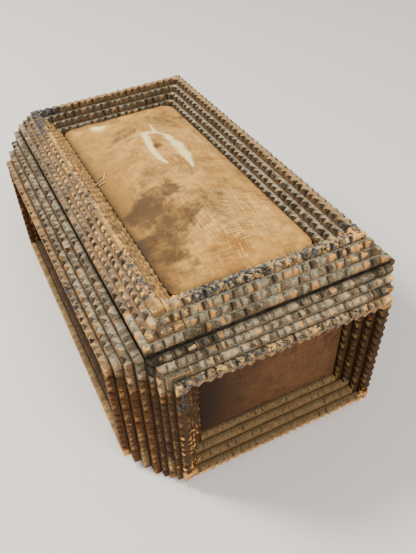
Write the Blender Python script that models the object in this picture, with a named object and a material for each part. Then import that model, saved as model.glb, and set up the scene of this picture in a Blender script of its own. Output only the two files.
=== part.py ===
"""Tramp art box: a plain wooden box whose lid and four sides carry stepped, notched frames round velvet panels.

The box stands on z = 0 with its centre on the z axis. Its short front faces -Y, its long sides face -X and +X.
Every side and the lid carry the same build-up: four layers of thin strips, each layer narrower than the one
below it at its outer and its inner edge, so that they climb to a narrow ridge. The arrises are notched.
The lid lifts off: its board lies on the walls, between the top rails of the first layer of frames.
"""

import bmesh
import bpy
from mathutils import Matrix, Vector

# The plain box under the carving
BOX_WIDTH = 0.1400
BOX_LENGTH = 0.2500
WALL_HEIGHT = 0.0984
WALL_THICKNESS = 0.0050
BOTTOM_THICKNESS = 0.0050
LID_BOARD_THICKNESS = 0.0050

# The clearances
GLUE_GAP = 0.0003
LID_CLEARANCE = 0.0004
LID_SEAM = 0.0014

# The carved strips
LAYERS = 4
STRIP_THICKNESS = 0.0037
SIDE_STRIP_THICKNESS = 0.0040
LID_RIDGE_WIDTH = 0.0060
LID_STEP_OUT = 0.0032
LID_STEP_IN = 0.0033
END_RIDGE_WIDTH = 0.0057
END_STEP_OUT = 0.0027
END_STEP_IN = 0.0036
SIDE_RIDGE_WIDTH = 0.0060
SIDE_STEP_OUT = 0.0047
SIDE_STEP_IN = 0.0033
BOTTOM_STEP_OUT = 0.0027

# The notches along the arrises
NOTCH_PITCH = 0.0090
NOTCH_INSET = 0.0020
NOTCH_DROP = 0.0027
NOTCH_CORNER_MARGIN = 0.0026

# The fabric
LID_CUSHION_EDGE = 0.0040
LID_CUSHION_CROWN = 0.0100
PANEL_EDGE = 0.0016
PANEL_CROWN = 0.0014
CUSHION_SEGMENTS = 14
PANEL_SEGMENTS = 8

# Base colours, roughness
CARVED_WOOD = ((0.165, 0.112, 0.066), 0.78)
PLAIN_WOOD = ((0.230, 0.140, 0.075), 0.70)
LID_VELVET = ((0.380, 0.235, 0.105), 0.92)
SIDE_VELVET = ((0.120, 0.066, 0.032), 0.92)

CORNER_MARGINS = (NOTCH_CORNER_MARGIN, NOTCH_CORNER_MARGIN)
BOARD_TOP = WALL_HEIGHT + GLUE_GAP + LID_BOARD_THICKNESS


def clear_scene():
    for obj in list(bpy.data.objects):
        bpy.data.objects.remove(obj)


def material(name, finish):
    colour, roughness = finish
    made = bpy.data.materials.new(name)
    made.use_nodes = True
    shader = made.node_tree.nodes["Principled BSDF"]
    shader.inputs["Base Color"].default_value = (*colour, 1)
    shader.inputs["Roughness"].default_value = roughness
    shader.inputs["Metallic"].default_value = 0
    return made


def group(name):
    empty = bpy.data.objects.new(name, None)
    bpy.context.scene.collection.objects.link(empty)
    return empty


def add_object(name, bm, place, finish, parent):
    mesh = bpy.data.meshes.new(name)
    bm.to_mesh(mesh)
    bm.free()
    mesh.materials.append(finish)
    obj = bpy.data.objects.new(name, mesh)
    bpy.context.scene.collection.objects.link(obj)
    obj.parent = parent
    obj.matrix_world = place
    return obj


def facing(origin, right, up):
    """A frame on one face of the box: x runs right and y up, as seen from outside, and z points outward."""
    right = Vector(right)
    up = Vector(up)
    turn = Matrix((right, up, right.cross(up))).transposed()
    return Matrix.Translation(origin) @ turn.to_4x4()


class Build:
    """The steps and the rectangle of one face's four layers, in that face's own frame."""

    def __init__(self, frame, low, high, thickness, ridge, step_out, bottom_step_out, step_in):
        self.frame = frame
        self.low = Vector(low)
        self.high = Vector(high)
        self.thickness = thickness
        self.ridge = ridge
        self.out_low = Vector((step_out, bottom_step_out))
        self.out_high = Vector((step_out, step_out))
        self.step_in = step_in

    def outer(self, layer):
        """Lowest and highest corner of the layer's outline."""
        return self.low + layer * self.out_low, self.high - layer * self.out_high

    def opening(self, layer):
        """Lowest and highest corner of the layer's opening."""
        climbs = LAYERS - 1
        inset = self.ridge + climbs * self.step_in - layer * self.step_in
        low = self.low + climbs * self.out_low + Vector((inset, inset))
        high = self.high - climbs * self.out_high - Vector((inset, inset))
        return low, high

    def level(self, layer):
        """Height of the layer's underside over the face."""
        return GLUE_GAP + layer * (self.thickness + GLUE_GAP)


def rectangle(low, high):
    places = ((low.x, low.y), (high.x, low.y), (high.x, high.y), (low.x, high.y))
    return [Vector(place) for place in places]


def notched_arris(bm, first, last, margins):
    """Cuts V notches across the arris from first to last, but for margins, the lengths of its two plain ends.

    With margins None it cuts none. It gives the vertices along the edge of the upper face and along the edge of
    the side face, both with their ends.
    """
    if margins is None:
        return [first, last], [first, last]
    line = last.co - first.co
    along = line.normalized()
    inward = Vector((-along.y, along.x, 0))
    start, rest = margins
    carved_length = line.length - start - rest
    count = max(1, round(carved_length / NOTCH_PITCH))
    pitch = carved_length / count
    upper = [first]
    side = [first]
    tip = None
    for index in range(count + 1):
        place = first.co + along * (start + index * pitch)
        if tip is not None:
            middle = place - along * (pitch / 2)
            on_top = bm.verts.new(middle + inward * NOTCH_INSET)
            on_side = bm.verts.new(middle - Vector((0, 0, NOTCH_DROP)))
        if index == 0 and start == 0:
            new_tip = first
        elif index == count and rest == 0:
            new_tip = last
        else:
            new_tip = bm.verts.new(place)
        if tip is not None:
            bm.faces.new((tip, on_side, on_top))
            bm.faces.new((on_top, on_side, new_tip))
            upper.append(on_top)
            side.append(on_side)
        if new_tip not in (first, last):
            upper.append(new_tip)
            side.append(new_tip)
        tip = new_tip
    upper.append(last)
    side.append(last)
    return upper, side


def side_wall(bm, side, low_first, low_last):
    bm.faces.new([low_first, low_last, *reversed(side)])


def carved_strip(low, high, thickness, margins):
    """A strip from corner low to corner high. margins are those of its bottom, right, top and left edge."""
    bm = bmesh.new()
    corners = rectangle(low, high)
    tops = [bm.verts.new((c.x, c.y, thickness)) for c in corners]
    feet = [bm.verts.new((c.x, c.y, 0)) for c in corners]
    loop = []
    for index in range(4):
        following = (index + 1) % 4
        upper, side = notched_arris(bm, tops[index], tops[following], margins[index])
        loop.extend(upper[:-1])
        side_wall(bm, side, feet[index], feet[following])
    bm.faces.new(loop)
    bm.faces.new(reversed(feet))
    return bm


def carved_frame(outer, opening, thickness, outer_margins, inner_margins):
    """Four strips in one: a frame with notched outer and inner arrises."""
    bm = bmesh.new()
    outside = rectangle(*outer)
    inside = rectangle(*opening)
    out_tops = [bm.verts.new((c.x, c.y, thickness)) for c in outside]
    out_feet = [bm.verts.new((c.x, c.y, 0)) for c in outside]
    in_tops = [bm.verts.new((c.x, c.y, thickness)) for c in inside]
    in_feet = [bm.verts.new((c.x, c.y, 0)) for c in inside]
    for index in range(4):
        following = (index + 1) % 4
        upper, side = notched_arris(bm, out_tops[index], out_tops[following], outer_margins[index])
        side_wall(bm, side, out_feet[index], out_feet[following])
        in_upper, in_side = notched_arris(bm, in_tops[following], in_tops[index], inner_margins[index])
        side_wall(bm, in_side, in_feet[following], in_feet[index])
        bm.faces.new([*upper, *in_upper])
        bm.faces.new((out_feet[following], out_feet[index], in_feet[index], in_feet[following]))
    return bm


def is_ridge(layer):
    return layer == LAYERS - 1


def carved_edges(layer, under_edge_shows):
    """Which outer edges of a layer are notched: bottom, right, top, left."""
    return [under_edge_shows or is_ridge(layer), True, True, True]


def frame_in_one(name, build, layer, finish, parent):
    """A layer as one solid, its four strips glued into a frame."""
    outer_margins = [CORNER_MARGINS if cut else None for cut in carved_edges(layer, False)]
    inner_margins = [CORNER_MARGINS if is_ridge(layer) else None] * 4
    outer = build.outer(layer)
    opening = build.opening(layer)
    bm = carved_frame(outer, opening, build.thickness, outer_margins, inner_margins)
    place = build.frame @ Matrix.Translation((0, 0, build.level(layer)))
    return add_object(name, bm, place, finish, parent)


def strips_of_layer(names, build, layer, upright_run_through, under_edge_shows, finish, parent):
    """A layer as four strips. names are those of its bottom, right, top and left strip.

    Either the upright pair or the level pair runs the whole way, and the other pair fits between it.
    """
    outer_low, outer_high = build.outer(layer)
    open_low, open_high = build.opening(layer)
    carved = carved_edges(layer, under_edge_shows)
    boxes = [
        (outer_low, Vector((outer_high.x, open_low.y))),
        (Vector((open_high.x, outer_low.y)), outer_high),
        (Vector((outer_low.x, open_high.y)), outer_high),
        (outer_low, Vector((open_low.x, outer_high.y))),
    ]
    for index in range(4):
        is_upright = index in (1, 3)
        low, high = boxes[index]
        low = low.copy()
        high = high.copy()
        if is_upright and not upright_run_through:
            low.y = open_low.y + GLUE_GAP
            high.y = open_high.y - GLUE_GAP
        if not is_upright and upright_run_through:
            low.x = open_low.x + GLUE_GAP
            high.x = open_high.x - GLUE_GAP
        runs_through = is_upright == upright_run_through
        margins = [None] * 4
        if carved[index]:
            margins[index] = CORNER_MARGINS if runs_through else (0, 0)
        for neighbour in ((index + 1) % 4, (index + 3) % 4):
            if runs_through and carved[neighbour]:
                margins[neighbour] = CORNER_MARGINS
        if is_ridge(layer):
            end = NOTCH_CORNER_MARGIN
            if runs_through:
                end += build.ridge
            margins[(index + 2) % 4] = (end, end)
        middle = (low + high) / 2
        bm = carved_strip(low - middle, high - middle, build.thickness, margins)
        place = build.frame @ Matrix.Translation((middle.x, middle.y, build.level(layer)))
        add_object(names[index], bm, place, finish, parent)


def board(name, low, high, finish, parent):
    """A plain board between two corners."""
    low = Vector(low)
    high = Vector(high)
    bm = bmesh.new()
    bmesh.ops.create_cube(bm, size=1)
    bmesh.ops.scale(bm, vec=high - low, verts=bm.verts)
    return add_object(name, bm, Matrix.Translation((low + high) / 2), finish, parent)


def padded_panel(name, build, edge, crown, segments, finish, parent):
    """A stuffed velvet panel in the first layer's opening, which bulges outward and is highest at its middle."""
    low, high = build.opening(0)
    low = low + Vector((GLUE_GAP, GLUE_GAP))
    high = high - Vector((GLUE_GAP, GLUE_GAP))
    half = (high - low) / 2
    middle = (low + high) / 2
    bm = bmesh.new()
    tops = {}
    feet = {}
    for i in range(segments + 1):
        for j in range(segments + 1):
            across = 2 * i / segments - 1
            along = 2 * j / segments - 1
            swell = (1 - across**4) * (1 - along**4)
            x, y = half.x * across, half.y * along
            tops[i, j] = bm.verts.new((x, y, edge + crown * swell))
            if abs(across) == 1 or abs(along) == 1:
                feet[i, j] = bm.verts.new((x, y, 0))
    for i in range(segments):
        for j in range(segments):
            bm.faces.new((tops[i, j], tops[i + 1, j], tops[i + 1, j + 1], tops[i, j + 1]))
    last = segments
    rim = [(i, 0) for i in range(last)] + [(last, j) for j in range(last)]
    rim += [(last - i, last) for i in range(last)] + [(0, last - j) for j in range(last)]
    for here, after in zip(rim, rim[1:] + rim[:1]):
        bm.faces.new((feet[here], feet[after], tops[after], tops[here]))
    bm.faces.new([feet[key] for key in reversed(rim)])
    place = build.frame @ Matrix.Translation((middle.x, middle.y, GLUE_GAP))
    return add_object(name, bm, place, finish, parent)


def upright_build(frame, width, sizes):
    """The layers of an upright face: they reach from the ground to just under the lid's first strips."""
    half = width / 2
    high = BOARD_TOP + GLUE_GAP - LID_SEAM
    thickness, ridge, step_out, step_in = sizes
    return Build(frame, (-half, 0), (half, high), thickness, ridge, step_out, BOTTOM_STEP_OUT, step_in)


def make_box(wood, parent):
    """Four walls and a bottom. The long walls run past the short ones, and the bottom fits between all four."""
    half_x = BOX_WIDTH / 2
    half_y = BOX_LENGTH / 2
    inner_x = half_x - WALL_THICKNESS
    inner_y = half_y - WALL_THICKNESS
    short_x = inner_x - GLUE_GAP
    board("wall_left", (-half_x, -half_y, 0), (-inner_x, half_y, WALL_HEIGHT), wood, parent)
    board("wall_right", (inner_x, -half_y, 0), (half_x, half_y, WALL_HEIGHT), wood, parent)
    board("wall_front", (-short_x, -half_y, 0), (short_x, -inner_y, WALL_HEIGHT), wood, parent)
    board("wall_back", (-short_x, inner_y, 0), (short_x, half_y, WALL_HEIGHT), wood, parent)
    floor_y = inner_y - GLUE_GAP
    board("bottom_board", (-short_x, -floor_y, 0), (short_x, floor_y, BOTTOM_THICKNESS), wood, parent)


def make_sides(carved, velvet, parent):
    half_x = BOX_WIDTH / 2
    half_y = BOX_LENGTH / 2
    up = (0, 0, 1)
    end = (STRIP_THICKNESS, END_RIDGE_WIDTH, END_STEP_OUT, END_STEP_IN)
    long_side = (SIDE_STRIP_THICKNESS, SIDE_RIDGE_WIDTH, SIDE_STEP_OUT, SIDE_STEP_IN)
    faces = {
        "front": (facing((0, -half_y, 0), (1, 0, 0), up), BOX_WIDTH, end),
        "back": (facing((0, half_y, 0), (-1, 0, 0), up), BOX_WIDTH, end),
        "left": (facing((-half_x, 0, 0), (0, -1, 0), up), BOX_LENGTH, long_side),
        "right": (facing((half_x, 0, 0), (0, 1, 0), up), BOX_LENGTH, long_side),
    }
    for side, (frame, width, sizes) in faces.items():
        build = upright_build(frame, width, sizes)
        padded_panel(f"{side}_velvet_panel", build, PANEL_EDGE, PANEL_CROWN, PANEL_SEGMENTS, velvet, parent)
        for layer in range(LAYERS):
            title = f"{side}_layer{layer + 1}"
            if side == "front":
                pieces = ("bottom_rail", "right_stile", "top_rail", "left_stile")
                names = [f"{title}_{piece}" for piece in pieces]
                strips_of_layer(names, build, layer, layer % 2 == 0, False, carved, parent)
            else:
                frame_in_one(f"{title}_frame", build, layer, carved, parent)


def make_lid(wood, carved, velvet, parent):
    half_x = BOX_WIDTH / 2 - LID_CLEARANCE
    half_y = BOX_LENGTH / 2 - LID_CLEARANCE
    low_z = WALL_HEIGHT + GLUE_GAP
    board("lid_board", (-half_x, -half_y, low_z), (half_x, half_y, BOARD_TOP), wood, parent)
    frame = facing((0, 0, BOARD_TOP), (1, 0, 0), (0, 1, 0))
    build = Build(
        frame, (-half_x, -half_y), (half_x, half_y), STRIP_THICKNESS, LID_RIDGE_WIDTH,
        LID_STEP_OUT, LID_STEP_OUT, LID_STEP_IN,
    )
    for layer in range(LAYERS):
        names = [f"lid_layer{layer + 1}_{where}_strip" for where in ("front", "right", "back", "left")]
        strips_of_layer(names, build, layer, layer % 2 == 1, True, carved, parent)
    padded_panel(
        "lid_pincushion", build, LID_CUSHION_EDGE, LID_CUSHION_CROWN, CUSHION_SEGMENTS, velvet, parent
    )


def main():
    clear_scene()
    carved = material("carved_wood", CARVED_WOOD)
    plain = material("plain_wood", PLAIN_WOOD)
    lid_velvet = material("lid_velvet", LID_VELVET)
    side_velvet = material("side_velvet", SIDE_VELVET)
    body = group("box_body")
    lid = group("box_lid")
    make_box(plain, body)
    make_sides(carved, side_velvet, body)
    make_lid(plain, carved, lid_velvet, lid)


main()
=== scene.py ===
"""The looks of the tramp art box: notched strips with wear, rubbed velvet, soft light, the photograph's
camera.
"""

import math
import random
from dataclasses import dataclass

import bmesh
import bpy
from mathutils import Matrix, Vector, noise


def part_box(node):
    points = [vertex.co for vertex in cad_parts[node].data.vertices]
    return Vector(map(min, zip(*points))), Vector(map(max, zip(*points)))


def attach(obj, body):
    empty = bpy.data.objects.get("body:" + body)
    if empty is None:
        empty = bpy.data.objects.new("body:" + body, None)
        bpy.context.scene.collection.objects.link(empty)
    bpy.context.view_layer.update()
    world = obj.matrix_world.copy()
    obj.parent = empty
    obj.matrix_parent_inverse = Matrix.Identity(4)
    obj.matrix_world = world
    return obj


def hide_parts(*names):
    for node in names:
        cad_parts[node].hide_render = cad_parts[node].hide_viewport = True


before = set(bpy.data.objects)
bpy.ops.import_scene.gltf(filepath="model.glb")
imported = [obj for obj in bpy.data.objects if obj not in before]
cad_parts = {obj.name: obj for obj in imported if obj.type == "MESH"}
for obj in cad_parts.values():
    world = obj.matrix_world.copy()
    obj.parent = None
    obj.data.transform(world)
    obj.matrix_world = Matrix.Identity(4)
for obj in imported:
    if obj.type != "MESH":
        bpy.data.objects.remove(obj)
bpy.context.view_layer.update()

MM = 0.001
SEED = 7

# The camera
CAMERA_PLACE = (-0.1153, -0.2883, 0.3066)
CAMERA_TURN = (46.93, 3.23, -25.09)
CAMERA_LENS = 37.03
CAMERA_SHIFT = (0.0489, 0.0085)

# The faces of the box: the directions to the right and up on each, seen from outside
FACES = {
    "lid": ((1, 0, 0), (0, 1, 0)),
    "front": ((1, 0, 0), (0, 0, 1)),
    "back": ((-1, 0, 0), (0, 0, 1)),
    "left": ((0, -1, 0), (0, 0, 1)),
    "right": ((0, 1, 0), (0, 0, 1)),
}
LAYERS = 4
LID_NAMES = ("front_strip", "right_strip", "back_strip", "left_strip")
UPRIGHT_NAMES = ("bottom_rail", "right_stile", "top_rail", "left_stile")

# The grooves of each face: how far they reach over the top of a strip and down its side, and their spacing
GROOVES = {
    "lid": (2.3 * MM, 3.3 * MM, 5.5 * MM),
    "front": (1.9 * MM, 2.5 * MM, 5.3 * MM),
    "back": (1.9 * MM, 2.5 * MM, 5.4 * MM),
    "left": (3.4 * MM, 2.5 * MM, 5.5 * MM),
    "right": (3.4 * MM, 2.5 * MM, 5.5 * MM),
}
STILE_GROOVES = (2.4 * MM, 3.3 * MM, 5.2 * MM)
RIDGE_REACH = 2.4 * MM
CORNER_MARGIN = 2.4 * MM
BUTT_MARGIN = 0.5 * MM
BUTT_GAPS = (0.25 * MM, 0.6 * MM)
PLAIN_INSET = 0.35 * MM
PLAIN_DROP = 1.0 * MM
PLAIN_STEP = 14 * MM
PLAIN_WEAR = (0.1 * MM, 0.3 * MM)
CORNER_WEAR = (0.2 * MM, 0.6 * MM)
CORNER_TIP = 0.8

# A groove and the teeth beside it: shares of the pitch, of the land and of the full depth
PITCHES = (0.94, 1.07)
TIP_SHIFT = 0.12
TIP_LAND = 0.45 * MM
HALF_LANDS = (0.3, 0.9)
TIP_WEAR = (0.1 * MM, 0.5 * MM)
BREAK_WEAR = (0.4 * MM, 1.1 * MM)
BROKEN_TEETH = 0.06
DEPTHS = (0.8, 1.08)
HALFWAY_DEPTHS = (0.5, 0.66)
HALFWAY_WEAR = 0.12 * MM
HALFWAY_TIP = 0.3
VALLEY_WEAR = 0.03 * MM
VALLEY_SHIFT = 0.1
LEAN = 0.35 * MM
SOFT_EDGES = {("lid", 3): 0.6, ("front", 0): 0.95, ("left", 0): 0.5}
PLAIN_TOPS = ("front_layer3_left_stile",)
PLAIN_TOP_REACH = 7 * MM
DUSTY_TOPS = (84 * MM, 94 * MM)
SPLICED_STRIP = "left_layer2_top_rail"
SPLICE_PLACE = 0.0192
SPLICE_GAP = 0.7 * MM
UNEVENNESS = (0.2 * MM, 3.5 * MM)
RIDGE_GREY = 0.35
TINT_REACH = 0.42


def spots(*rows):
    """Round spots, each with a centre, a reach and an amount. The rows are in millimetres."""
    return [(Vector(centre).to_3d() * MM, reach * MM, amount) for *centre, reach, amount in rows]


def worn_line(*rows):
    """A bent line, each of its points with the half width there. The rows are in millimetres."""
    return [(Vector(place) * MM, width * MM) for *place, width in rows]


RUBBED_SPOTS = spots(
    (-62, 60, 119.5, 20, 0.62), (-62, 30, 119.5, 26, 0.66), (-62, -10, 119.5, 30, 0.6),
    (-62, -50, 119.5, 30, 0.64), (-60, -90, 119.5, 26, 0.62), (-70, -45, 112, 40, 0.36),
    (-47, -116, 118, 18, 0.6), (-10, -116, 118, 30, 0.42), (50, -116, 118, 24, 0.6),
    (-64, -122, 110, 20, 0.52), (-61, -142, 91, 8, 0.6), (-20, -141, 92, 30, 0.44),
    (30, -141, 92, 20, 0.42), (61, -140, 94, 10, 0.62), (66, -132, 98, 7, 0.7),
    (-58, -142, 17, 14, 0.68), (-54, -142, 42, 22, 0.6), (60, -141, 14, 13, 0.62),
    (-69, -124, 106, 9, 0.62), (-88, -112, 86, 9, 0.62), (-88, -85, 87, 16, 0.5),
    (-87, -68, 93, 6, 0.85), (-88, -108, 12, 14, 0.62), (-88, -112, 40, 22, 0.42),
    (58, 40, 119, 80, 0.24),
)
PAINTED_SPOTS = spots(
    (-58, 100, 119, 40, 0.52), (-57, 10, 119, 75, 0.42), (-55, -85, 119, 40, 0.46),
    (-20, -113, 119, 45, 0.5), (40, -113, 119, 40, 0.48), (0, -141, 94, 85, 0.44),
    (-55, -141, 94, 22, 0.46), (-59, -140, 78, 6, 0.52), (-83, -55, 94, 30, 0.46),
)
# Dark spots: the one in the seam under the lid's front is painted shadow; the other two darken the front left
# corner at chips.
DARKENED_SPOTS = spots(
    (-69, -126, 99, 10, 0.7), (-87, -115, 82, 8, 0.7), (-40, -127, 103, 12, 0.65),
)
CHIPS = spots(
    (57, -136, 94, 8, 1), (-69, -127, 101, 9, 1), (-87, -115, 83, 5, 1),
    (-30, -124, 107, 5, 0.7), (-39, -117, 115, 4, 0.8),
)
CHIP_DEPTH = 1.5 * MM

# The pad's and the panels' marks, measured from their middles. The torn threads are in millimetres too.
PAD_STAINS = spots(
    (-27, -30, 20, 0.85), (-36, -60, 24, 0.9), (-18, -48, 20, 0.75),
    (-10, -22, 12, 0.8), (-42, -80, 22, 0.6), (-8, 58, 14, 0.55),
    (4, 30, 10, 0.45), (12, 0, 18, 0.45), (30, 70, 20, 0.42),
    (-12, -2, 18, 0.45), (2, -45, 24, 0.42), (-40.5, 17.5, 6, 1),
)
PAD_OLIVE = spots(
    (-50, -12, 32, 1), (-46, 30, 32, 0.7), (-40, 65, 30, 0.5),
    (-50, -60, 30, 0.6),
)
# Painted shadow over the left part of each side panel.
PANEL_SHADOW = spots(
    (-69, 0, 71, 0.95),
)
PAD_THREADS = spots(
    (10, -58, 34, 1), (-6, -15, 30, 0.6), (20, 20, 40, 0.5),
)
BALD_LOOP = worn_line(
    (0.2, 3.8, 0.6), (-1.5, 12, 1.4), (-1.4, 26.4, 1.9),
    (0.2, 39, 2.1), (1.4, 44.8, 2.2), (7.2, 48.2, 2.1),
    (12.2, 48.4, 2.2),
)
BALD_LEG = worn_line(
    (13.2, 47.4, 1.8), (15.7, 42.8, 2.5), (16.6, 26.5, 3.4),
    (16.2, 11.8, 3.4), (13.3, -6, 0.7),
)
BALD_SPUR = worn_line(
    (10.8, 49, 1.4), (13.3, 64, 0.5),
)
BALD_SPOT = worn_line(
    (-20.3, 86.2, 3.8), (-18.7, 82.2, 4),
)
PANEL_SHADE = spots(
    (20, 10, 50, 0.2), (-10, 30, 30, 0.3),
)
TORN_THREADS = (
    ((-44, 19), (-40, 17), (-36.2, 18.6)),
    ((-43.2, 16), (-40.2, 14.8), (-37.2, 15.8)),
    ((-38.8, 17.6), (-37.2, 21.2), (-35, 23)),
)
TORN_LIFT = 1.1 * MM
THREAD_RADIUS = 0.28 * MM
THREAD_STEPS = 10
THREAD_SIDES = 6

# The splinter that stands out of the joint of the front's lowest layer
SPLINTER_PLACE = (-0.0473, -0.1285, 0.1018)
SPLINTER_TURN = (0.2, -0.1, 0.1)
SPLINTER_SIZE = (3.8 * MM, 1.9 * MM)
SPLINTER_THICKNESS = 1.5 * MM
SPLINTER_TAPER = (0.6, 110)

# The cloth: the height of its held border, the radius of its corners, its grid and its levels of subdivision
PAD = (2.4 * MM, 9 * MM, 44, 96, 2)
PANEL = (1.2 * MM, 1 * MM, 40, 22, 1)
PAD_FILL = 0.9
PANEL_FILL = 0.35
RIM_SHADE = 10 * MM
FRAYS = ((90, 6 * MM), (300, 2.5 * MM))
CLOTH_FRAMES = 18
CLOTH_PRESSURE = 4.0
CLOTH_SLACK = 0.03
FIRST_SWELL = 0.3

# The noises of the materials: a scale, a detail and a roughness, and the stretch of a grain or a weave
BLOTCHES = (110, 4, 0.6)
FLECKS = (420, 3, 0.7)
RUBS = (450, 4, 0.7)
PATCHES = (480, 4, 0.7)
MOTTLE = (760, 3, 0.7)
SPECKS = (900, 2, 0.6)
GRIT = (1300, 3, 0.7)
CLOUDS = (55, 6, 0.65)
RAGS = (170, 6, 0.7)
FUZZ = (620, 4, 0.7)
PILINGS = (1100, 2, 0.6)
BOARD_BLOTCHES = (22, 3, 0.6)
CARVED_GRAIN = (70, 650, 650)
BOARD_GRAIN = (300, 14, 120)
WEAVE = ((1400, 90, 90), (90, 1400, 90))


def srgb(red, green, blue):
    """A colour as the eye reads it, 0 to 255, in the linear values that a shader takes."""
    def linear(value):
        part = value / 255
        return part / 12.92 if part <= 0.04045 else ((part + 0.055) / 1.055) ** 2.4
    return (linear(red), linear(green), linear(blue), 1)


class Shader:
    """A short way to write a node tree that feeds one Principled BSDF."""

    def __init__(self, name, roughness, specular=0.25):
        self.material = bpy.data.materials.new(name)
        self.material.use_nodes = True
        self.tree = self.material.node_tree
        self.bsdf = self.tree.nodes["Principled BSDF"]
        self.bsdf.inputs["Roughness"].default_value = roughness
        self.bsdf.inputs["Specular IOR Level"].default_value = specular

    def link(self, value, socket):
        if isinstance(value, Field):
            self.tree.links.new(value.socket, socket)
        else:
            socket.default_value = value

    def node(self, kind, output, inputs, **settings):
        """One output of a new node that has these settings, with its inputs linked or set."""
        made = self.tree.nodes.new(kind)
        for name, value in settings.items():
            setattr(made, name, value)
        for name, value in inputs.items():
            self.link(value, made.inputs[name])
        return Field(self, made.outputs[output])

    def attribute(self, name, output="Fac"):
        return self.node("ShaderNodeAttribute", output, {}, attribute_name=name)

    def stretched(self, place, scale):
        return self.node("ShaderNodeMapping", "Vector", {"Vector": place, "Scale": scale})

    def noise(self, place, scale, detail, roughness=0.6):
        inputs = {"Vector": place, "Scale": scale, "Detail": detail, "Roughness": roughness}
        return self.node("ShaderNodeTexNoise", "Fac", inputs)

    def mix(self, share, first, second):
        inputs = {0: share, 6: first, 7: second}
        return self.node("ShaderNodeMix", 2, inputs, data_type="RGBA", clamp_factor=True)

    def bump(self, height, distance, strength):
        inputs = {"Strength": strength, "Distance": distance, "Height": height}
        self.link(self.node("ShaderNodeBump", "Normal", inputs), self.bsdf.inputs["Normal"])

    def colour(self, value):
        self.base = value
        self.link(value, self.bsdf.inputs["Base Color"])

    def lay(self, colour, share):
        """Lays a colour over the ones below, as much as the share says at each place."""
        self.colour(self.mix(share, self.base, colour))


class Field:
    """A number, a colour or a place that changes over a surface: an output of one of a shader's nodes."""

    def __init__(self, shader, socket):
        self.shader = shader
        self.socket = socket

    def math(self, operation, other):
        return self.shader.node("ShaderNodeMath", 0, {0: self, 1: other}, operation=operation)

    def __add__(self, other):
        return self.math("ADD", other)

    def __mul__(self, other):
        return self.math("MULTIPLY", other)

    def frayed(self, cloud, reach):
        """The same with borders that a noise moves in and out."""
        return self + (cloud + -0.5) * reach

    def steps(self, low, high):
        """0 at low and 1 at high, smooth between, also where low is the larger one."""
        inputs = {"Value": self, "From Min": low, "From Max": high}
        return self.shader.node("ShaderNodeMapRange", "Result", inputs, interpolation_type="SMOOTHSTEP")


class WoodLook:
    """The colours of one kind of carved wood, and how much dust lies on it."""

    def __init__(self, colours, dust_share, roughness, specular):
        self.wood, self.dark, self.dust, self.pale_dust, self.wear_and_light = [srgb(*colour) for colour in colours]
        self.dust_share = dust_share
        self.roughness = roughness
        self.specular = specular


SOOT_AND_SHADE_BLACK = srgb(18, 14, 10)
GREEN_DIRT_AND_SHADE = srgb(38, 35, 28)
GREY_DUST = srgb(94, 90, 75)
PALE_GREY_DUST = srgb(174, 165, 137)
SLATE = srgb(84, 86, 86)
BLACK_PAINT = srgb(36, 34, 32)
BARE_WOOD = srgb(236, 196, 118)


def carved_wood(name, look):
    """Old notched wood: varnish in the grain, dust in the notches, lands rubbed bright, dirt and painted
    contact shade at the feet, painted shade deep in the grooves.
    """
    shader = Shader(name, look.roughness, look.specular)
    place = shader.attribute("place", "Vector")
    tint, dusty, topped = [shader.attribute(kind) for kind in ("tint", "dusty", "topped")]
    grain = shader.noise(shader.stretched(place, CARVED_GRAIN), 1.0, 4)
    blotches, flecks, specks, grit = [shader.noise(place, *kind) for kind in (BLOTCHES, FLECKS, SPECKS, GRIT)]

    faded = shader.mix(0.45, look.wood, look.dark)
    shader.colour(shader.mix(grain.steps(0.3, 0.7), faded, look.wood))
    shader.lay(look.dark, (blotches + tint).steps(0.4, 0.75))

    mottle = (flecks + shader.noise(place, *MOTTLE)) * 0.5
    mottle = (mottle + tint).steps(0.38, 0.62)
    brown_dust = shader.mix(mottle, look.dust, look.pale_dust)
    grey_dust = shader.mix(mottle, GREY_DUST, PALE_GREY_DUST)
    grey = shader.attribute("grey").math("MAXIMUM", topped)
    settled = (dusty + topped * 0.8) * (blotches + tint * 0.3).steps(0.12, 0.45) * look.dust_share
    shader.lay(shader.mix(grey, brown_dust, grey_dust), settled)
    warm = shader.mix(0.55, look.wear_and_light, look.pale_dust)
    shader.lay(warm, shader.attribute("warm") * blotches.steps(0.3, 0.6))

    # Bare wood from wear, and painted light on the back-facing notch facets of the lid's left strips.
    shader.lay(look.wear_and_light, (specks + shader.attribute("wear_and_light")).steps(0.8, 1.05) * 0.85)
    # Greenish dark: dirt, with painted shade on facets that face away from the light and on the shaded rails.
    shader.lay(GREEN_DIRT_AND_SHADE, shader.attribute("dirt_and_shade") * flecks.steps(0.1, 0.5))
    pits = grit.steps(0.54, 0.68)
    shader.lay(look.dark, pits * 0.6)
    crumbs = grit.steps(0.46, 0.34)
    shader.lay(look.pale_dust, crumbs * (dusty * 0.4))

    painted = (shader.noise(place, *PATCHES) + shader.attribute("painted")).steps(0.92, 1.0)
    shader.lay(shader.mix(flecks.steps(0.4, 0.6), BLACK_PAINT, SLATE), painted)
    rubbed = (shader.noise(place, *RUBS) + shader.attribute("rubbed")).steps(0.94, 1.06)
    shader.lay(shader.mix(flecks.steps(0.45, 0.7), look.wear_and_light, BARE_WOOD), rubbed * 0.9)
    # Near black: dirt and painted contact shade at the strips' feet, painted shade deep in the grooves, and
    # the dark spots.
    shader.lay(SOOT_AND_SHADE_BLACK, shader.attribute("grime_and_shade") * flecks.steps(0.0, 0.45))
    shader.bump(grain * 0.7 + (specks + flecks * 0.8), 0.3 * MM, 0.75)
    return shader.material


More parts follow.
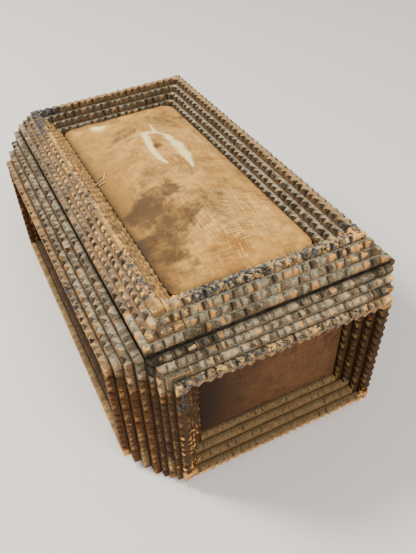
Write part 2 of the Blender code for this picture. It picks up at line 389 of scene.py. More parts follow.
def plain_wood(name, light, dark):
    """Thin plain boards with straight grain along their length."""
    shader = Shader(name, 0.68)
    place = shader.node("ShaderNodeTexCoord", "Object", {})
    grain = shader.noise(shader.stretched(place, BOARD_GRAIN), 1.0, 6)
    shader.colour(shader.mix(grain.steps(0.3, 0.7), srgb(*dark), srgb(*light)))
    blotches = shader.noise(place, *BOARD_BLOTCHES).steps(0.35, 0.7)
    shader.lay(shader.mix(0.4, shader.base, srgb(*dark)), blotches)
    shader.bump(grain, 0.15 * MM, 0.6)
    return shader.material


def velvet(name, colours):
    """Old velvet: rubbed pile over a weave, stains, showing threads, and bald places on a pale ground."""
    pile, shadow, thread, stain, bare, olive, sheen = [srgb(*colour) for colour in colours]
    shader = Shader(name, 0.85)
    place = shader.attribute("place", "Vector")
    clouds, rags, fuzz, pilings = [shader.noise(place, *kind) for kind in (CLOUDS, RAGS, FUZZ, PILINGS)]
    along, across = [shader.noise(shader.stretched(place, stretch), 1.0, 3) for stretch in WEAVE]
    weave = (along + across) * 0.5

    shader.colour(shader.mix(clouds.steps(0.35, 0.65), shadow, pile))
    shader.lay(shadow, rags.steps(0.4, 0.75) * 0.7)
    showing = shader.attribute("thready") * 0.65 + 0.35
    shader.lay(thread, weave.steps(0.48, 0.6) * showing)
    shader.lay(olive, shader.attribute("olive") * 0.9)
    stained = shader.attribute("stained").frayed(clouds, 2.2).frayed(rags, 1.3)
    shader.lay(stain, stained.steps(-0.1, 1.05) * pilings.steps(-0.3, 0.4) * 0.9)
    bald = shader.attribute("bald").frayed(fuzz, 1.3)
    shader.lay(bare, bald.steps(0.2, 0.75) * 0.94)
    # Painted shade along the cover's border and painted shadow on the panels, in the stain colour.
    shader.lay(stain, shader.attribute("grime_and_shade"))
    for socket, value in (("Sheen Weight", 0.1), ("Sheen Tint", sheen), ("Sheen Roughness", 0.5)):
        shader.bsdf.inputs[socket].default_value = value
    shader.bump(weave + pilings * 0.6, 0.3 * MM, 0.7)
    return shader.material


def make_materials():
    rows = ((132, 90, 54), (64, 47, 34), (123, 103, 68), (170, 146, 99), (226, 160, 80))
    ridge = ((158, 112, 62), (76, 54, 36), (132, 110, 78), (188, 150, 94), (242, 182, 88))
    stiles = ((92, 55, 27), (36, 21, 11), (108, 79, 46), (168, 132, 84), (196, 124, 46))
    golden = ((222, 167, 79), (160, 110, 48), (236, 194, 116), (64, 48, 34), (255, 230, 156), (150, 110, 48),
              (250, 220, 170))
    brown = ((106, 71, 41), (84, 54, 31), (122, 88, 54), (30, 17, 8), (150, 120, 84), (120, 80, 40),
             (150, 96, 52))
    return {
        "rows": carved_wood("dusty_carved_wood", WoodLook(rows, 1.0, 0.8, 0.2)),
        "ridge": carved_wood("painted_ridge_wood", WoodLook(ridge, 0.8, 0.75, 0.2)),
        "stiles": carved_wood("varnished_stile_wood", WoodLook(stiles, 0.9, 0.55, 0.08)),
        "splinter": plain_wood("splinter_wood", (226, 194, 142), (176, 136, 88)),
        "boards": plain_wood("plain_board_wood", (150, 116, 80), (100, 72, 48)),
        # Near black: painted shade in the seam under the lid.
        "lid_board": plain_wood("seam_shade_board_wood", (66, 53, 41), (22, 18, 14)),
        "thread": plain_wood("torn_thread_silk", (240, 212, 150), (206, 164, 96)),
        "pad": velvet("golden_velvet", golden),
        "panel": velvet("brown_velvet", brown),
    }


def linked(name, data):
    """A new object in the scene."""
    made = bpy.data.objects.new(name, data)
    bpy.context.scene.collection.objects.link(made)
    return made


def spots_at(point, places):
    """The strongest of the round spots at a point, each fading to nothing at its reach."""
    found = 0.0
    for centre, reach, amount in places:
        nearness = 1 - (point - centre).length / reach
        if nearness > 0:
            found = max(found, amount * min(1, nearness * 1.8))
    return found


@dataclass
class Station:
    """One cross-section of an edge: its place, how deep the groove is there, how far it leans, how much of
    the arris has rubbed away, how near a tooth's tip it is, and the tone of its facet."""

    along: float
    depth: float = 0.0
    lean: float = 0.0
    wear: float = 0.0
    tip: float = 0.0
    tone: float = None


@dataclass
class Edge:
    """One of a strip's four edges: plain, or carved with grooves between two plain margins."""

    margins: tuple = None
    grooves: tuple = None
    strength: float = 1.0
    end: bool = False
    inner: bool = False

    def stations(self, length, rng):
        if self.margins is None:
            return self.plain_stations(length, rng)
        return self.carved_stations(length, rng)

    def plain_stations(self, length, rng):
        count = max(1, round(length / PLAIN_STEP))
        return [Station(length * i / count, wear=rng.uniform(*PLAIN_WEAR)) for i in range(1, count)]

    def carved_stations(self, length, rng):
        """V grooves one after another. A narrow land of the arris stays between two, the tip of a tooth."""
        start, rest = self.margins
        pitch = self.grooves[2] * rng.uniform(*PITCHES)
        count = max(1, round((length - start - rest) / pitch))
        step = (length - start - rest) / count
        shifts = [rng.uniform(-TIP_SHIFT, TIP_SHIFT) * (0 < i < count) for i in range(count + 1)]
        tips = [start + (i + shift) * step for i, shift in enumerate(shifts)]
        stations = []
        for index, tip in enumerate(tips):
            wear = rng.uniform(*TIP_WEAR)
            if rng.random() < BROKEN_TEETH:
                wear += rng.uniform(*BREAK_WEAR)
            half_land = TIP_LAND * rng.uniform(*HALF_LANDS)
            tone = rng.random()
            if index > 0:
                stations.append(Station(tip - half_land, wear=wear, tip=1, tone=tone))
            if index < count:
                stations.append(Station(tip + half_land, wear=wear, tip=1, tone=tone))
                stations += self.groove(tip + half_land, tips[index + 1] - half_land, rng)
        return stations

    def groove(self, start, rest, rng):
        """The three stations of one groove, halfway down, at the bottom, and halfway up."""
        depth = rng.uniform(*DEPTHS) * self.strength
        valley = (start + rest) / 2 + rng.uniform(-VALLEY_SHIFT, VALLEY_SHIFT) * (rest - start)
        lean = rng.uniform(-LEAN, LEAN)
        fall, rise = rng.uniform(*HALFWAY_DEPTHS), rng.uniform(*HALFWAY_DEPTHS)
        halfway = (lean / 2, HALFWAY_WEAR, HALFWAY_TIP)
        return [
            Station((start + valley) / 2, depth * fall, *halfway, rng.random()),
            Station(valley, depth, lean, VALLEY_WEAR),
            Station((valley + rest) / 2, depth * rise, *halfway, rng.random()),
        ]

    def profile(self, station, thickness):
        """The cross-section at a station, from the foot up over the arris to the top: inset and height."""
        into, down = self.grooves[:2] if self.grooves else (PLAIN_INSET, PLAIN_DROP)
        groove_in = station.wear + (into - 0.2 * MM) * station.depth
        groove_down = station.wear + (down - 0.2 * MM) * station.depth
        groove_down = min(groove_down, thickness - 0.25 * MM)
        shelf = max(0.12 * MM, thickness - max(down + 0.3 * MM, groove_down + 0.1 * MM))
        rounding = 0.28 * station.wear * (1 - station.depth)
        return [
            (0.0, 0.0),
            (0.0, shelf),
            (0.0, thickness - groove_down),
            (groove_in / 2 - rounding, thickness - groove_down / 2 + rounding),
            (groove_in, thickness),
            (max(into + 0.1 * MM, groove_in + 0.1 * MM), thickness),
        ]


class Mark:
    """What a vertex of a strip is: its groove depth, how near the foot and a tip it is, how much may chip."""

    def __init__(self, ring, station, edge, inward):
        on_arris = 2 <= ring <= 4
        self.groove = station.depth if on_arris else 0.0
        self.foot = (1.0, 0.55, 0.0, 0.0, 0.0, 0.0)[ring]
        self.tip = station.tip if on_arris else 0.0
        self.chips = (0.0, 0.5, 1.0, 1.0, 1.0, 0.5)[ring]
        self.soft = 1 - edge.strength
        self.inward = inward


class Facet:
    """What a face of a strip is: its part of an edge, the edge, and its tone from 0 to 1."""

    PARTS = ("foot", "side", "notch", "notch", "ledge")

    def __init__(self, ring, edge, first, last):
        self.part = self.PARTS[ring]
        self.edge = edge
        if self.part == "notch" and max(first.depth, last.depth) == 0:
            self.part = "land"
        tones = [station.tone for station in (first, last) if station.tone is not None]
        self.tone = 0.5
        if tones:
            self.tone = tones[0] if first.tip < last.tip or len(tones) == 1 else tones[-1]


def strip_sections(corners, thickness, edges, rng):
    """The cross-sections round a strip, each with its points, its station, its edge and its way in."""
    sections = []
    for index, edge in enumerate(edges):
        first, last = corners[index], corners[(index + 1) % 4]
        along = (last - first).normalized()
        inward = Vector((-along.y, along.x))
        corner = Station(0, wear=rng.uniform(*CORNER_WEAR), tip=CORNER_TIP)
        points = []
        for here, there in zip(edge.profile(corner, thickness), edges[index - 1].profile(corner, thickness)):
            flat = first + along * there[0] + inward * here[0]
            points.append(Vector((flat.x, flat.y, min(here[1], there[1]))))
        sections.append((points, corner, edge, inward))
        for station in edge.stations((last - first).length, rng):
            points = []
            for ring, (inset, height) in enumerate(edge.profile(station, thickness)):
                shift = station.lean * (ring - 3) if 2 <= ring <= 4 else 0.0
                flat = first + along * (station.along + shift) + inward * inset
                points.append(Vector((flat.x, flat.y, height)))
            sections.append((points, station, edge, inward))
    return sections


def strip_mesh(name, size, thickness, edges, rng):
    """A strip centred on the origin, its foot in z = 0, its length along x and its outer edge at the low y.

    Its surface is rings of points that go round it, with one face over its middle and one over its foot.
    """
    length, width = size
    corners = [Vector((0, 0)), Vector((length, 0)), Vector((length, width)), Vector((0, width))]
    middle = Vector((length / 2, width / 2, 0))
    sections = strip_sections(corners, thickness, edges, rng)
    count = len(sections)
    faces = []
    facets = []
    for i in range(count):
        j = (i + 1) % count
        faces += [(i * 6 + k, j * 6 + k, j * 6 + k + 1, i * 6 + k + 1) for k in range(5)]
        facets += [Facet(k, sections[i][2], sections[i][1], sections[j][1]) for k in range(5)]
    faces.append([i * 6 + 5 for i in range(count)])
    faces.append([i * 6 for i in reversed(range(count))])
    facets.append(Facet(4, edges[0], sections[0][1], sections[0][1]))
    facets.append(Facet(0, edges[0], sections[0][1], sections[0][1]))
    mesh = bpy.data.meshes.new(name)
    mesh.from_pydata([point - middle for section in sections for point in section[0]], [], faces)
    marks = [Mark(ring, *section[1:]) for section in sections for ring in range(6)]
    return mesh, marks, facets


def add_attributes(mesh, names, rows, domain="POINT"):
    """What the materials read at each vertex or face. A row has a number or a place for each name."""
    for name, values in zip(names, zip(*rows)):
        if isinstance(values[0], Vector):
            made = mesh.attributes.new(name, "FLOAT_VECTOR", domain)
            made.data.foreach_set("vector", [number for value in values for number in value])
        else:
            made = mesh.attributes.new(name, "FLOAT", domain)
            made.data.foreach_set("value", values)


def roughen(mesh, offset, amount, size):
    """Moves each vertex a little, so that no edge stays ruler-straight. The foot stays flat."""
    for vertex in mesh.vertices:
        if vertex.co.z > 0.01 * MM:
            vertex.co += noise.noise_vector((vertex.co + offset) / size) * amount


@dataclass
class Strip:
    """One strip of a layer, in the face's own right and up directions: its corners, its turn round the frame,
    whether each of its two ends is bare or butts against a neighbour, and the margins of its inner edge."""

    name: str
    node: str
    index: int
    low: Vector
    high: Vector
    bare_ends: tuple
    inner_margins: tuple

    def travel(self):
        return (Vector((1, 0)), Vector((0, 1)), Vector((-1, 0)), Vector((0, -1)))[self.index]

    def size(self):
        size = self.high - self.low
        return (size.y, size.x) if self.index in (1, 3) else (size.x, size.y)

    def split(self, place):
        """Two strips with a gap at a place to the right. Both gap ends are plain."""
        left_end = Vector((place - SPLICE_GAP / 2, self.high.y))
        right_start = Vector((place + SPLICE_GAP / 2, self.low.y))
        start, rest = self.inner_margins
        first, last = self.bare_ends
        node, index = self.node, self.index
        return [
            Strip(self.name, node, index, right_start, self.high, (False, last), (BUTT_MARGIN, rest)),
            Strip(self.name + "_far", node, index, self.low, left_end, (first, False), (start, BUTT_MARGIN)),
        ]


class Layer:
    """The outline and the opening of one layer on a face, in the face's own right, up and out directions."""

    def __init__(self, side, number, right, up):
        self.side = side
        self.number = number
        self.right = Vector(right)
        self.up = Vector(up)
        self.out = self.right.cross(self.up)
        title = f"{side}_layer{number}"
        self.piece_names = [f"{title}_{name}" for name in (LID_NAMES if side == "lid" else UPRIGHT_NAMES)]
        if side in ("lid", "front"):
            self.nodes = self.piece_names
            boxes = [self.face_box(node) for node in self.nodes]
            self.low = Vector(map(min, *[low for low, high in boxes]))
            self.high = Vector(map(max, *[high for low, high in boxes]))
            self.open_low = Vector((boxes[3][1].x, boxes[0][1].y))
            self.open_high = Vector((boxes[1][0].x, boxes[2][0].y))
        else:
            self.nodes = [f"{title}_frame"] * 4
            self.low, self.high = self.face_box(self.nodes[0])
            feet = self.feet_inside(self.nodes[0])
            self.open_low = Vector((min(p.x for p in feet), min(p.y for p in feet)))
            self.open_high = Vector((max(p.x for p in feet), max(p.y for p in feet)))

    def to_face(self, point):
        return Vector((self.right.dot(point), self.up.dot(point), self.out.dot(point)))

    def face_box(self, node):
        ends = [self.to_face(corner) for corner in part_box(node)]
        return Vector(map(min, *ends)), Vector(map(max, *ends))

    def feet_inside(self, node):
        """The corners of the opening, at the layer's foot."""
        points = [self.to_face(vertex.co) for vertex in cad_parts[node].data.vertices]
        near = 0.05 * MM
        low, high = self.low, self.high
        feet = [p for p in points if p.z - low.z < near]
        return [p for p in feet if low.x + near < p.x < high.x - near and low.y + near < p.y < high.y - near]

    def strips(self, rng):
        low, high = self.low.xy, self.high.xy
        open_low, open_high = self.open_low, self.open_high
        left, right = open_low.x - low.x, high.x - open_high.x
        under, over = open_low.y - low.y, high.y - open_high.y
        boxes = [
            (low, Vector((high.x, open_low.y))),
            (Vector((open_high.x, low.y)), high),
            (Vector((low.x, open_high.y)), high),
            (low, Vector((open_low.x, high.y))),
        ]
        crossings = [(left, right), (under, over), (right, left), (over, under)]
        upright_through = (self.number % 2 == 0) == (self.side == "lid")
        strips = []
        for index in range(4):
            strip_low, strip_high = boxes[index][0].copy(), boxes[index][1].copy()
            through = (index in (1, 3)) == upright_through
            axis = 1 if index in (1, 3) else 0
            margins = (BUTT_MARGIN, BUTT_MARGIN)
            if through:
                margins = tuple(crossing + BUTT_MARGIN for crossing in reversed(crossings[index]))
            else:
                strip_low[axis] = open_low[axis] + rng.uniform(*BUTT_GAPS)
                strip_high[axis] = open_high[axis] - rng.uniform(*BUTT_GAPS)
            name = self.piece_names[index]
            strip = Strip(name, self.nodes[index], index, strip_low, strip_high, (through, through), margins)
            strips += strip.split(SPLICE_PLACE) if name == SPLICED_STRIP else [strip]
        return strips


def strip_edges(layer, strip):
    """The outer, the right, the inner and the left edge of a strip, as it runs round the frame."""
    grooves = STILE_GROOVES if is_stile(layer, strip) else GROOVES[layer.side]
    if layer.number == LAYERS and not is_stile(layer, strip):
        grooves = (RIDGE_REACH, grooves[1], grooves[2])
    grounded = layer.side != "lid" and layer.number == 1
    outer_margins = tuple(CORNER_MARGIN if bare else BUTT_MARGIN for bare in strip.bare_ends)
    strength = SOFT_EDGES.get((layer.side, strip.index), 1.0)
    inner = Edge(strip.inner_margins, grooves, strength, inner=True)
    edges = [Edge(outer_margins, grooves), Edge(end=True), inner, Edge(end=True)]
    for place, bare in zip((1, 3), strip.bare_ends):
        if bare:
            edges[place] = Edge((CORNER_MARGIN, CORNER_MARGIN), grooves, end=True)
    if strip.name in PLAIN_TOPS:
        edges[3] = Edge(end=True)
        edges[0].margins = (PLAIN_TOP_REACH, CORNER_MARGIN)
    if grounded and strip.index in (0, 1, 3):
        ground_edge = {0: 0, 1: 3, 3: 1}[strip.index]
        edges[ground_edge] = Edge(end=ground_edge != 0)
    return edges


def is_stile(layer, strip):
    return layer.side != "lid" and strip.index in (1, 3)


def ramp(value, low, high):
    """0 below low, 1 above high, straight between."""
    return max(0.0, min(1.0, (value - low) / (high - low)))


def notch_values(layer, strip, facet, normal):
    """How dusty, rubbed and dark a notch's facet is. On the long rows those facing the front get painted
    shade, and on the stiles those facing down.
    """
    dusty = 0.5 + 0.5 * max(0.0, normal.z)
    wear_and_light = 0.75 if facet.tone > 0.84 else 0.15
    dirt_and_shade = 0.6 if facet.tone < 0.16 else 0.35 * (0.5 - facet.tone) * (facet.tone < 0.5)
    runs_back = strip.index in (1, 3) if layer.side == "lid" else layer.side in ("left", "right")
    if is_stile(layer, strip):
        # On the stiles the facets that face down get painted shade.
        return 0.8 * ramp(normal.z, 0.1, 0.6) * facet.tone, wear_and_light * 0.4, 0.9 * ramp(-normal.z, 0.0, 0.6)
    if runs_back and not facet.edge.end:
        # Painted shade on the facets that face the front.
        dirt_and_shade += 0.65 * ramp(-normal.y, 0.1, 0.4)
        if layer.side == "lid" and strip.index == 3:
            # Painted light: the orange of wear on the facets that face the back, which the light falls on.
            wear_and_light += 0.42 * ramp(normal.y, 0.0, 0.33) * facet.tone
        if layer.side == "lid" and strip.index == 1:
            dirt_and_shade += 0.45 if facet.edge.inner else 0.22
    elif layer.side == "lid" and strip.index == 2:
        # The back strip's inner edge gets painted shade; its outer edge is darker too.
        dirt_and_shade = 0.75 if facet.edge.inner else dirt_and_shade + 0.3
    return dusty, wear_and_light, dirt_and_shade


def facet_values(layer, strip, facet, normal):
    """How dusty, rubbed and dark a face is: notches and what faces up catch dust, and lands are rubbed. Dark
    is dirt and painted shade.
    """
    tone = facet.tone
    upward = max(0.0, normal.z)
    if facet.part == "notch":
        return notch_values(layer, strip, facet, normal)
    if facet.part == "land":
        return 0.35, 0.3 + 0.5 * tone, 0.0
    if is_stile(layer, strip):
        return 0.1, 0.35 * tone, 0.2
    if layer.side == "lid" and strip.index == 3 and facet.part == "ledge":
        return 0.45, 0.0, 0.0
    # The inner sides of the right and back strips are darker; on the back strips this is painted shade.
    if layer.side == "lid" and strip.index in (1, 2) and facet.edge.inner:
        return (0.85, 0.0, 0.05) if facet.part == "ledge" else (0.3, 0.1, 0.5)
    in_front = (layer.side, strip.index) in (("lid", 0), ("front", 2))
    wear_and_light = (0.5 if in_front else 0.3) * tone if facet.part == "side" else 0.0
    return (0.55 if in_front else 0.15) + 0.75 * upward, wear_and_light, 0.0


def rail_values(layer, strip, facet):
    """How dusty, rubbed and dark a lower rail's inner side is. On the left only the outermost is light; the
    inner ones get dirt and painted shade.
    """
    if layer.side == "left" and layer.number < LAYERS:
        return 0.05, 0.25 * facet.tone, 0.75
    if layer.side == "left":
        return 0.65, 0.4 * facet.tone, 0.2
    return 0.55, 0.25 * facet.tone, 0.15 + 0.4 * facet.tone


def paint_faces(layer, strip, mesh, facets, matrix):
    """The face values that the wood materials read."""
    turn = matrix.to_3x3()
    soft = SOFT_EDGES.get((layer.side, strip.index), 1.0) < 1
    rows = []
    for face, facet in zip(mesh.polygons, facets):
        dusty, wear_and_light, dirt_and_shade = facet_values(layer, strip, facet, turn @ face.normal)
        grey = 0.0 if is_stile(layer, strip) else 1.0
        if layer.side == "front" and is_stile(layer, strip):
            dirt_and_shade += 0.42
        if soft and layer.side != "lid":
            grey = 0.0
            if facet.edge.inner:
                dusty, wear_and_light, dirt_and_shade = rail_values(layer, strip, facet)
            elif layer.number == LAYERS:
                wear_and_light += 0.45
        elif soft and facet.edge.inner:
            dusty, wear_and_light, dirt_and_shade, grey = 0.85, 0.55 * facet.tone, 0.5 * dirt_and_shade, 0.0
        if layer.number == LAYERS:
            grey *= RIDGE_GREY
        rows.append((dusty, wear_and_light, dirt_and_shade, grey, (facet.tone - 0.5) * TINT_REACH))
    add_attributes(mesh, ("dusty", "wear_and_light", "dirt_and_shade", "grey", "tint"), rows, "FACE")


def strip_material(layer, strip, materials):
    if layer.side == "lid":
        return materials["ridge" if layer.number == LAYERS else "rows"]
    if strip.index in (1, 3):
        return materials["stiles"]
    return materials["ridge" if layer.number == LAYERS and strip.index == 2 else "rows"]


def paint_strip(layer, strip, mesh, marks, matrix, offset):
    """The vertex values that the wood materials read."""
    stile = is_stile(layer, strip)
    lid_left = layer.side == "lid" and strip.index == 3
    rows = []
    for vertex, mark in zip(mesh.vertices, marks):
        world = matrix @ vertex.co
        # Darker at each strip's foot and deep in its grooves: dirt, and painted shade where the strip meets
        # the layer below and in the notches.
        foot_dirt_and_shade = 0.9 * mark.foot ** (1 if layer.number == 1 else 2)
        groove_dirt_and_shade = 0.8 * mark.groove ** (3 if stile else 5) * (1 - mark.soft)
        rub = spots_at(world, RUBBED_SPOTS) * (0.5 + 0.5 * mark.tip)
        rows.append((
            vertex.co + offset,
            rub * (1 - mark.soft),
            spots_at(world, PAINTED_SPOTS) if layer.number == LAYERS else 0.0,
            min(1.0, max(foot_dirt_and_shade, groove_dirt_and_shade, spots_at(world, DARKENED_SPOTS))),
            0.5 if lid_left and mark.soft else 0.05,
            ramp(world.z, *DUSTY_TOPS) if stile else 0.0,
        ))
    add_attributes(mesh, ("place", "rubbed", "painted", "grime_and_shade", "warm", "topped"), rows)


def chip(mesh, marks, matrix):
    """Breaks bits off the arris near the chips' places."""
    for vertex, mark in zip(mesh.vertices, marks):
        amount = spots_at(matrix @ vertex.co, CHIPS) * mark.chips
        if amount > 0:
            vertex.co += Vector((mark.inward.x, mark.inward.y, -1)) * CHIP_DEPTH * amount
            vertex.co.z = max(vertex.co.z, 0.2 * MM)


def carved_piece(layer, strip, materials, rng):
    """One strip in its place on the box."""
    thickness = layer.high.z - layer.low.z
    name = "carved_" + strip.name
    mesh, marks, facets = strip_mesh(name, strip.size(), thickness, strip_edges(layer, strip), rng)
    offset = Vector([rng.uniform(0, 5) for axis in range(3)])
    travel = strip.travel()
    along = layer.right * travel.x + layer.up * travel.y
    middle = (strip.low + strip.high) / 2
    origin = layer.right * middle.x + layer.up * middle.y + layer.out * layer.low.z
    turn = Matrix((along, layer.out.cross(along), layer.out)).transposed().to_4x4()
    matrix = Matrix.Translation(origin) @ turn
    chip(mesh, marks, matrix)
    roughen(mesh, offset, *UNEVENNESS)
    paint_strip(layer, strip, mesh, marks, matrix, offset)
    paint_faces(layer, strip, mesh, facets, matrix)
    mesh.materials.append(strip_material(layer, strip, materials))
    piece = linked(name, mesh)
    piece.matrix_world = matrix
    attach(piece, "root")
    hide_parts(strip.node)


def make_carving(materials):
    rng = random.Random(SEED)
    for side, (right, up) in FACES.items():
        for number in range(1, LAYERS + 1):
            layer = Layer(side, number, right, up)
            for strip in layer.strips(rng):
                carved_piece(layer, strip, materials, rng)
    make_splinter(materials["splinter"], rng)


def make_splinter(material, rng):
    mesh = strip_mesh("pale_splinter", SPLINTER_SIZE, SPLINTER_THICKNESS, [Edge()] * 4, rng)[0]
    width, growth = SPLINTER_TAPER
    for vertex in mesh.vertices:
        vertex.co.y *= width + vertex.co.x * growth
    roughen(mesh, Vector((2, 3, 4)), 0.25 * MM, 2 * MM)
    mesh.materials.append(material)
    piece = linked("pale_splinter", mesh)
    piece.location = SPLINTER_PLACE
    piece.rotation_euler = SPLINTER_TURN
    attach(piece, "root")


class PadSpace:
    """The space of a padded solid: u and v across its face, w out of it from its foot."""

    AXES = {
        "lid": (0, 1, 2, 1),
        "front": (0, 2, 1, -1),
        "back": (0, 2, 1, 1),
        "left": (1, 2, 0, -1),
        "right": (1, 2, 0, 1),
    }

    def __init__(self, side, node):
        low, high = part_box(node)
        self.first, self.second, self.out, self.sign = self.AXES[side]
        self.middle = (low + high) / 2
        self.half_u = (high[self.first] - low[self.first]) / 2
        self.half_v = (high[self.second] - low[self.second]) / 2
        self.height = high[self.out] - low[self.out]
        self.foot = low[self.out] if self.sign > 0 else high[self.out]
        self.mirrored = side in ("back", "left")

    def to_world(self, u, v, w):
        point = Vector((0, 0, 0))
        point[self.first] = self.middle[self.first] + u
        point[self.second] = self.middle[self.second] + v
        point[self.out] = self.foot + self.sign * w
        return point

    def to_local(self, point):
        return (
            point[self.first] - self.middle[self.first],
            point[self.second] - self.middle[self.second],
            self.sign * (point[self.out] - self.foot),
        )


def rounded(u, v, half_u, half_v, radius):
    """Draws the square corners of a grid in to round ones."""
    du, dv = abs(u) - (half_u - radius), abs(v) - (half_v - radius)
    if du <= 0 or dv <= 0:
        return u, v
    drawn = max(du, dv) / math.hypot(du, dv)
    return math.copysign(half_u - radius + du * drawn, u), math.copysign(half_v - radius + dv * drawn, v)


class Cover:
    """A velvet cover: an open grid, blown up by a cloth simulation with its border held, then closed."""

    def __init__(self, name, side, node, edge_height, corner, columns, rows, levels):
        self.name = name
        self.node = node
        self.levels = levels
        self.space = PadSpace(side, node)
        self.edge_height = edge_height
        self.columns, self.rows = columns, rows
        self.across = columns + 1
        mesh = bpy.data.meshes.new(name)
        mesh.from_pydata(self.flat_grid(corner), [], self.grid_faces())
        self.piece = linked(name, mesh)
        group = self.piece.vertex_groups.new(name="held")
        group.add(self.rim(), 1.0, "ADD")

    def flat_grid(self, corner):
        """The grid at the height of the border, with a slight swell to start from."""
        space = self.space
        points = []
        for j in range(self.rows + 1):
            for i in range(self.columns + 1):
                a, b = 2 * i / self.columns - 1, 2 * j / self.rows - 1
                u, v = rounded(space.half_u * a, space.half_v * b, space.half_u, space.half_v, corner)
                swell = (space.height - self.edge_height) * FIRST_SWELL * (1 - a**4) * (1 - b**4)
                points.append(space.to_world(u, v, self.edge_height + swell))
        return points

    def grid_faces(self):
        faces = []
        for j in range(self.rows):
            for i in range(self.columns):
                k = j * self.across + i
                faces.append((k, k + 1, k + self.across + 1, k + self.across))
        return self.facing_out(faces)

    def facing_out(self, faces):
        return [tuple(reversed(face)) for face in faces] if self.space.mirrored else faces

    def rim(self):
        """The places of the border's points in the grid, in their order round it."""
        columns, rows, across = self.columns, self.rows, self.across
        near = list(range(columns))
        right = [columns + j * across for j in range(rows)]
        last = rows * across + columns
        return near + right + [last - k for k in near + right]

    def start(self):
        self.cloth = self.piece.modifiers.new("cloth", "CLOTH")
        settings = self.cloth.settings
        settings.quality = 4
        settings.use_pressure = True
        settings.uniform_pressure_force = CLOTH_PRESSURE
        settings.vertex_group_mass = "held"
        settings.shrink_min = -CLOTH_SLACK
        settings.effector_weights.gravity = 0
        self.cloth.collision_settings.use_collision = False
        self.cloth.point_cache.frame_end = CLOTH_FRAMES

    def swollen(self):
        """The simulated points, scaled to fill the solid's height and kept inside its sides."""
        space = self.space
        graph = bpy.context.evaluated_depsgraph_get()
        mesh = self.piece.evaluated_get(graph).data
        places = [space.to_local(vertex.co) for vertex in mesh.vertices]
        tallest = max(w for u, v, w in places) - self.edge_height
        scale = (space.height - self.edge_height) / tallest
        points = []
        for u, v, w in places:
            u = max(-space.half_u, min(space.half_u, u))
            v = max(-space.half_v, min(space.half_v, v))
            points.append(space.to_world(u, v, self.edge_height + (w - self.edge_height) * scale))
        return points

    def finish(self, material, slot_name, fill):
        """Closes the simulated cover with sides and an underside, and smooths it."""
        points = self.swollen()
        self.piece.modifiers.remove(self.cloth)
        self.piece.vertex_groups.clear()
        rim = self.rim()
        base = len(points)
        for k in rim:
            u, v, w = self.space.to_local(points[k])
            points.append(self.space.to_world(u, v, 0))
        sides = []
        for n in range(len(rim)):
            m = (n + 1) % len(rim)
            sides.append((rim[m], rim[n], base + n, base + m))
        mesh = bpy.data.meshes.new(self.name)
        mesh.from_pydata(points, [], self.grid_faces() + self.facing_out(sides))
        self.piece.data = mesh
        self.subdivide()
        self.close_underside()
        mesh = self.piece.data
        mesh.shade_smooth()
        mesh.materials.append(material)
        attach(self.piece, "root")
        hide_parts(self.node)

    def subdivide(self):
        smoother = self.piece.modifiers.new("smoother", "SUBSURF")
        smoother.levels = self.levels
        graph = bpy.context.evaluated_depsgraph_get()
        mesh = bpy.data.meshes.new_from_object(self.piece.evaluated_get(graph))
        self.piece.modifiers.remove(smoother)
        self.piece.data = mesh

    def close_underside(self):
        closed = bmesh.new()
        closed.from_mesh(self.piece.data)
        bmesh.ops.holes_fill(closed, edges=[edge for edge in closed.edges if edge.is_boundary])
        bmesh.ops.recalc_face_normals(closed, faces=closed.faces)
        closed.to_mesh(self.piece.data)
        closed.free()

    def paint(self, stains, olive, threads, bald_lines, dark):
        """The vertex values that the velvet reads, with painted shade along the border and in the dark spots.
        The borders of the stains are frayed.
        """
        space = self.space
        rows = []
        for vertex in self.piece.data.vertices:
            u, v, w = space.to_local(vertex.co)
            flat = Vector((u, v, 0))
            rim = min(space.half_u - abs(u), space.half_v - abs(v))
            # Painted shade along the border, deepest on the left side.
            border_shade = (0.95 if u < 0 else 0.4) * max(0.0, 1 - rim / RIM_SHADE) ** 1.8
            frays = [noise.noise_vector(flat * scale) * reach for scale, reach in FRAYS]
            frayed = flat + (frays[0] + frays[1])
            rows.append((
                flat + Vector((3.1, 1.7, w)),
                max(border_shade, spots_at(flat, dark)),
                spots_at(frayed, stains),
                spots_at(frayed, olive),
                spots_at(frayed, threads),
                max([bald_at(Vector((u, v)), line) for line in bald_lines], default=0.0),
            ))
        add_attributes(self.piece.data, ("place", "grime_and_shade", "stained", "olive", "thready", "bald"), rows)

    def height_at(self, u, v):
        """The cover's height over its foot near a place on it."""
        near = min(
            (self.space.to_local(vertex.co) for vertex in self.piece.data.vertices),
            key=lambda place: (place[0] - u) ** 2 + (place[1] - v) ** 2 - place[2] * MM
        )
        return near[2]


def bald_at(point, line):
    """1 in the middle of a bald line, 0.5 at its border and 0 at twice its half width."""
    found = 0.0
    for (first, first_width), (last, last_width) in zip(line, line[1:]):
        run = last - first
        passed = max(0, min(1, (point - first).dot(run) / run.length_squared))
        width = first_width + (last_width - first_width) * passed
        found = max(found, 1 - (point - first - run * passed).length / (2 * width))
    return found


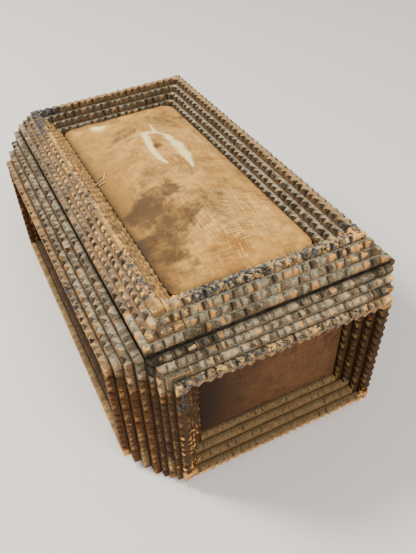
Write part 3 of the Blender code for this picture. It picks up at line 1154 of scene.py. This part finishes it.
def make_thread(name, cover, places, material):
    """A torn thread: a thin closed tube in an arch over the cover, through three places on it."""
    flat = [(u * MM, v * MM) for u, v in places]
    first, middle, last = [cover.space.to_world(u, v, cover.height_at(u, v)) for u, v in flat]
    along = (last - first).normalized()
    up = Vector((0, 0, 1))
    across = along.cross(up).normalized()
    vertices = []
    for step in range(THREAD_STEPS + 1):
        t = step / THREAD_STEPS
        point = first * (1 - t) ** 2 + middle * 2 * t * (1 - t) + last * t**2
        point.z += TORN_LIFT * math.sin(math.pi * t)
        radius = THREAD_RADIUS * (0.5 + 0.5 * math.sin(math.pi * min(1, 0.15 + t)))
        for side in range(THREAD_SIDES):
            angle = 2 * math.pi * side / THREAD_SIDES
            vertices.append(point + across * radius * math.cos(angle) + up * radius * math.sin(angle))
    last_ring = THREAD_STEPS * THREAD_SIDES
    faces = [tuple(range(THREAD_SIDES)), tuple(reversed(range(last_ring, last_ring + THREAD_SIDES)))]
    for ring in range(0, last_ring, THREAD_SIDES):
        for side in range(THREAD_SIDES):
            k, m = ring + side, ring + (side + 1) % THREAD_SIDES
            faces.append((k, k + THREAD_SIDES, m + THREAD_SIDES, m))
    mesh = bpy.data.meshes.new(name)
    mesh.from_pydata(vertices, [], faces)
    mesh.shade_smooth()
    mesh.materials.append(material)
    piece = linked(name, mesh)
    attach(piece, "root")


def make_cloth(materials):
    """The pincushion in the lid and the four side panels, all blown up in one run of the simulation."""
    pad = Cover("velvet_pincushion", "lid", "lid_pincushion", *PAD)
    sides = ("front", "back", "left", "right")
    panels = [Cover(f"velvet_{side}_panel", side, f"{side}_velvet_panel", *PANEL) for side in sides]
    for cover in [pad] + panels:
        cover.start()
    scene = bpy.context.scene
    for number in range(1, CLOTH_FRAMES + 1):
        scene.frame_set(number)
    pad.finish(materials["pad"], "lid_velvet", PAD_FILL)
    pad.paint(PAD_STAINS, PAD_OLIVE, PAD_THREADS, (BALD_LOOP, BALD_LEG, BALD_SPUR, BALD_SPOT), ())
    for panel in panels:
        panel.finish(materials["panel"], "side_velvet", PANEL_FILL)
        panel.paint(PANEL_SHADE, (), (), (), PANEL_SHADOW)
    for number, places in enumerate(TORN_THREADS, 1):
        make_thread(f"torn_thread_{number}", pad, places, materials["thread"])
    scene.frame_set(1)


def finish_boards(materials):
    """The lid's board only shows as the black line under the carving's lowest lid layer; its near-black
    colour is painted shade in that seam.
    """
    for name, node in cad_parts.items():
        if name.startswith("wall_") or name in ("bottom_board", "lid_board"):
            node.data.materials.clear()
            node.data.materials.append(materials["lid_board" if name == "lid_board" else "boards"])


def area_light(name, place, target, size, power, colour):
    data = bpy.data.lights.new(name, "AREA")
    data.shape = "DISK"
    data.size, data.energy, data.color = size, power, colour
    light = linked(name, data)
    light.location = place
    light.rotation_euler = (Vector(target) - Vector(place)).to_track_quat("-Z", "Y").to_euler()


def make_studio():
    mesh = bpy.data.meshes.new("floor")
    reach = 6.0
    corners = [(-reach, -reach, 0), (reach, -reach, 0), (reach, reach, 0), (-reach, reach, 0)]
    mesh.from_pydata(corners, [], [(0, 1, 2, 3)])
    shader = Shader("pale_floor", 0.9)
    shader.colour(srgb(226, 222, 216))
    mesh.materials.append(shader.material)
    linked("floor", mesh)

    world = bpy.data.worlds.new("studio")
    world.use_nodes = True
    background = world.node_tree.nodes["Background"].inputs
    background["Color"].default_value = (1.0, 0.985, 0.96, 1)
    background["Strength"].default_value = 0.5
    bpy.context.scene.world = world
    area_light("key", (-0.9, 0.75, 1.25), (0, 0, 0.08), 0.5, 42, (1.0, 0.96, 0.9))
    area_light("front", (0.1, -1.1, 1.2), (0, 0, 0.06), 1.0, 23, (1.0, 0.97, 0.94))


def make_camera():
    data = bpy.data.cameras.new("photo_camera")
    data.lens = CAMERA_LENS
    data.sensor_width = 36
    data.shift_x, data.shift_y = CAMERA_SHIFT
    data.clip_start = 0.01
    camera = linked("photo_camera", data)
    camera.location = CAMERA_PLACE
    camera.rotation_euler = [math.radians(angle) for angle in CAMERA_TURN]
    bpy.context.scene.camera = camera


noise.seed_set(SEED)
materials = make_materials()
make_cloth(materials)
make_carving(materials)
finish_boards(materials)
make_studio()
make_camera()
